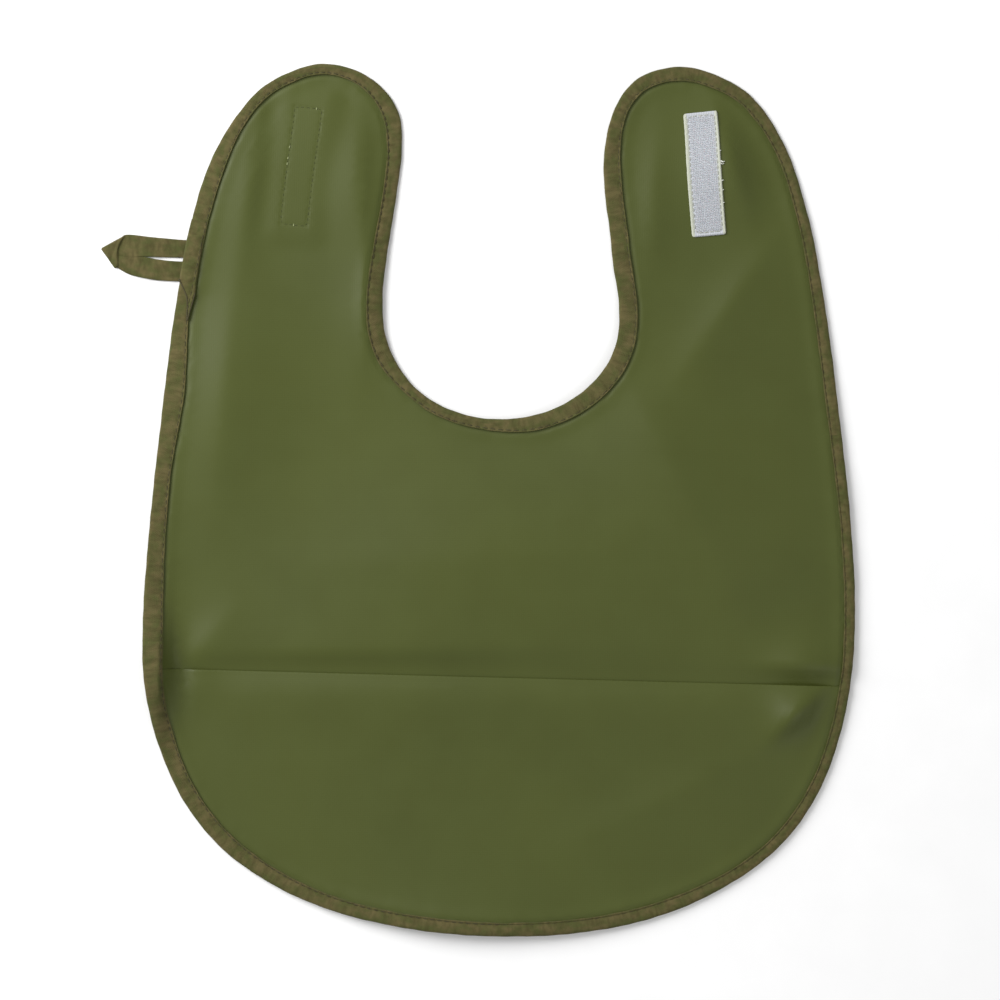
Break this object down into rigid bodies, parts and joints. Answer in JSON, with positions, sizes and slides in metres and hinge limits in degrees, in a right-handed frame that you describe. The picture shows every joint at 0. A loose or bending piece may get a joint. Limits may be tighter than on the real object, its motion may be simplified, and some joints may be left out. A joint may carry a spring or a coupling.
{
  "type": "bib",
  "caption": "Flat wipe-clean fabric bib with two neck arms, a hook-and-loop closure, a crumb-catcher pocket, a bound edge and a side hanging loop.",
  "frame": {"origin": "the point of the bib's back, on its mirror line, midway along its length; z = 0 is the plane that the back rests on", "axes": "+Y runs along the mirror line from the pocket towards the arm tips, +Z is the outward normal of the bib's front, and +X is towards the arm with the hook strip"},
  "size_m": [0.3314, 0.3832, 0.002],
  "materials": {
    "coated_fabric": "wipe-clean coated fabric, satin, very fine grain, olive green",
    "binding_tape": "plain-woven bias tape, matt, brownish olive",
    "binding_thread": "spun sewing thread, matt, dark olive",
    "hook_tape": "woven nylon tape with a field of small hooks, light cool grey",
    "loop_tape": "napped loop pile on a woven tape, pale olive",
    "strip_thread": "spun sewing thread, matt, pale green"
  },
  "bodies": {
    "torso": {"torso_panel": "coated_fabric", "neck_binding": "binding_tape", "left_side_binding": "binding_tape", "right_side_binding": "binding_tape", "left_corner_binding": "binding_tape", "right_corner_binding": "binding_tape", "bottom_binding": "binding_tape", "torso_seam_thread": "binding_thread", "pocket_pouch": "coated_fabric"},
    "pocket": {"pocket_mouth": "coated_fabric"},
    "left_arm": {"left_arm_panel": "coated_fabric", "left_arm_outer_binding": "binding_tape", "left_arm_neck_binding": "binding_tape", "left_arm_seam_thread": "binding_thread"},
    "right_arm": {"right_arm_panel": "coated_fabric", "right_arm_outer_binding": "binding_tape", "right_arm_neck_binding": "binding_tape", "right_arm_seam_thread": "binding_thread"},
    "left_tip": {"left_tip_panel": "coated_fabric", "left_tip_outer_binding": "binding_tape", "left_tip_end_binding": "binding_tape", "left_tip_inner_binding": "binding_tape", "left_tip_seam_thread": "binding_thread", "binding_end_fold": "binding_tape", "loop_strip": "loop_tape", "loop_strip_stitching": "strip_thread"},
    "right_tip": {"right_tip_panel": "coated_fabric", "right_tip_outer_binding": "binding_tape", "right_tip_end_binding": "binding_tape", "right_tip_inner_binding": "binding_tape", "right_tip_seam_thread": "binding_thread", "hook_strip": "hook_tape", "hook_strip_stitching": "strip_thread"},
    "hanger": {"hanger_upper_leg": "binding_tape", "hanger_lower_leg": "binding_tape", "hanger_mitre": "binding_tape"}
  },
  "joints": [
    {"name": "left_arm_fold", "type": "hinge", "parent": "torso", "child": "left_arm", "pos_m": [-0.095, 0.038, 0.0016], "axis": [0.9903, 0.1392, 0], "range_deg": [0, 95]},
    {"name": "right_arm_fold", "type": "hinge", "parent": "torso", "child": "right_arm", "pos_m": [0.095, 0.038, 0.0016], "axis": [0.9903, -0.1392, 0], "range_deg": [0, 95]},
    {"name": "left_tip_fold", "type": "hinge", "parent": "left_arm", "child": "left_tip", "pos_m": [-0.09931, 0.0687, 0.0016], "axis": [0.9903, 0.1392, 0], "range_deg": [0, 70]},
    {"name": "right_tip_fold", "type": "hinge", "parent": "right_arm", "child": "right_tip", "pos_m": [0.09931, 0.0687, 0.0016], "axis": [0.9903, -0.1392, 0], "range_deg": [0, 70]},
    {"name": "pocket_open", "type": "hinge", "parent": "torso", "child": "pocket", "pos_m": [0, -0.15, 0.00085], "axis": [1, 0, 0], "range_deg": [0, 30]},
    {"name": "hanger_swing", "type": "hinge", "parent": "left_tip", "child": "hanger", "pos_m": [-0.1393, 0.1058, 0.0016], "axis": [0.1857, 0.9826, 0], "range_deg": [0, 160]}
  ]
}
